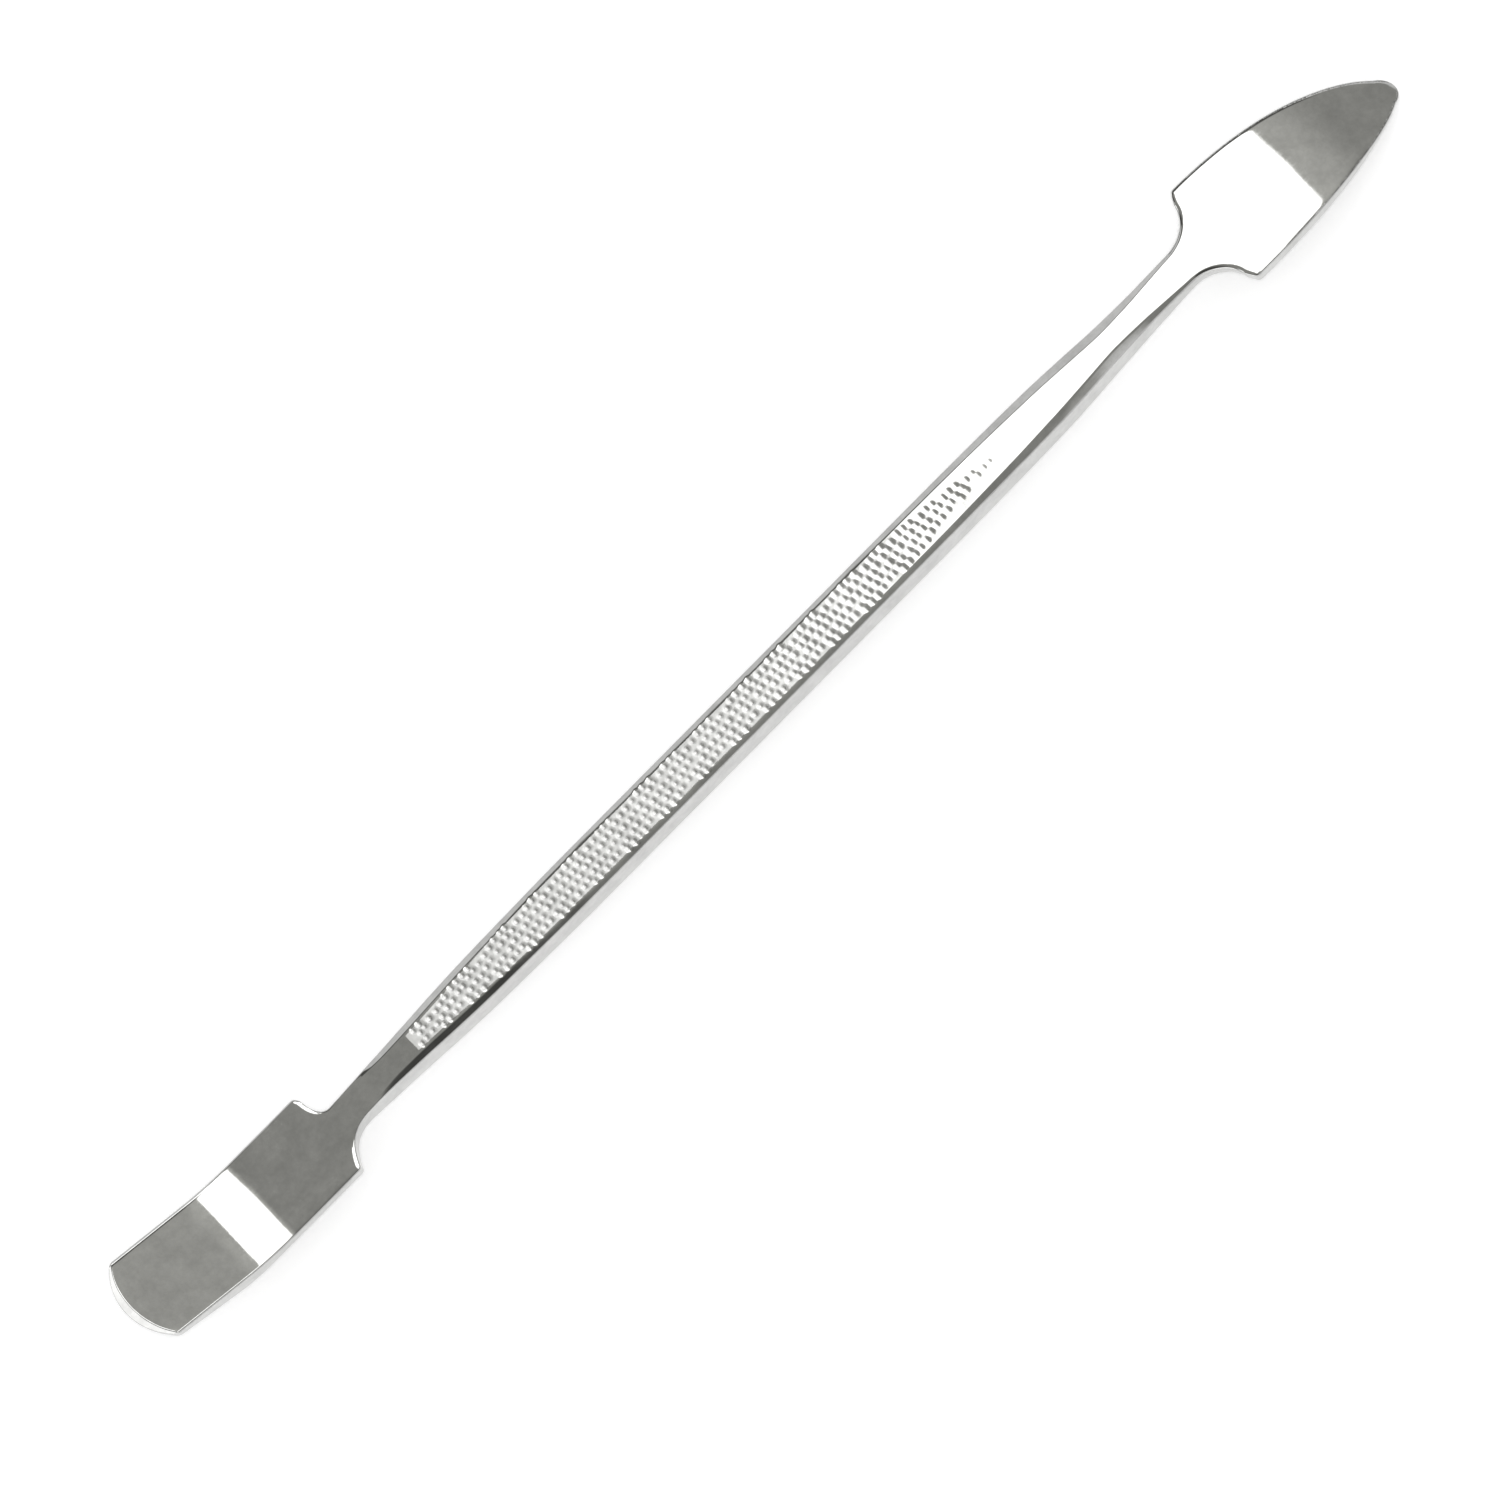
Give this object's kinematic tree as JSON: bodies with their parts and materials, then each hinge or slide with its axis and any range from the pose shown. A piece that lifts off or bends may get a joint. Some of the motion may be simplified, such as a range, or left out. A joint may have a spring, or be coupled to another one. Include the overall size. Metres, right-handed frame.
{
  "type": "double-ended spudger",
  "caption": "One-piece polished steel spudger: rounded spatula curving up, bevelled dimpled grip, leaf-shaped point curving down.",
  "frame": {"origin": "centre of the tool's length and width, at the level of its lowest point, the underside of the nose", "axes": "+X along the grip towards the pointed blade, +Y across the grip, +Z out of the broad face that the spatula curves towards"},
  "size_m": [0.18, 0.0132, 0.011],
  "materials": {
    "polished_steel": "mirror polished",
    "dimpled_steel": "polished, with dimpled broad faces"
  },
  "bodies": {
    "root": {"spatula_blade": "polished_steel", "spatula_neck": "polished_steel", "grip_bar": "dimpled_steel", "point_neck": "polished_steel", "point_blade": "polished_steel"}
  },
  "joints": []
}
